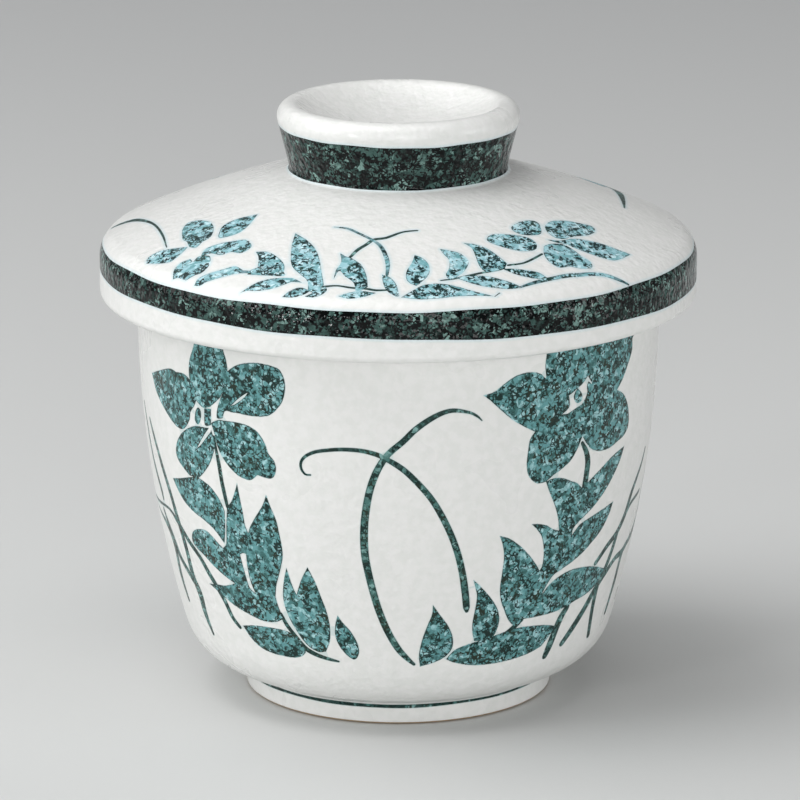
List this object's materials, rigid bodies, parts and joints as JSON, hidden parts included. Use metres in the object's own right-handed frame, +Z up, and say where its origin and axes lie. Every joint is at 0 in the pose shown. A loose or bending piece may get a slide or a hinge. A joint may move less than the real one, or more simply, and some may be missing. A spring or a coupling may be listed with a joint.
{
  "type": "lidded steamed custard cup",
  "caption": "Lidded porcelain cup for steamed egg custard: tapered body on a foot ring, domed cap lid with a ring knob, painted leaf and flower pattern.",
  "frame": {"origin": "on the axis of the cup, in the plane of the foot ring that it stands on", "axes": "+Z up along the axis of the cup and lid, -Y towards the viewer of the picture, +X to the viewer's right"},
  "size_m": [0.085, 0.085, 0.0855],
  "materials": {
    "cup_glaze": "satin white glaze over green underglaze painting",
    "lid_glaze": "satin white glaze over green underglaze painting"
  },
  "bodies": {
    "root": {"cup": "cup_glaze", "lid": "lid_glaze"}
  },
  "joints": []
}
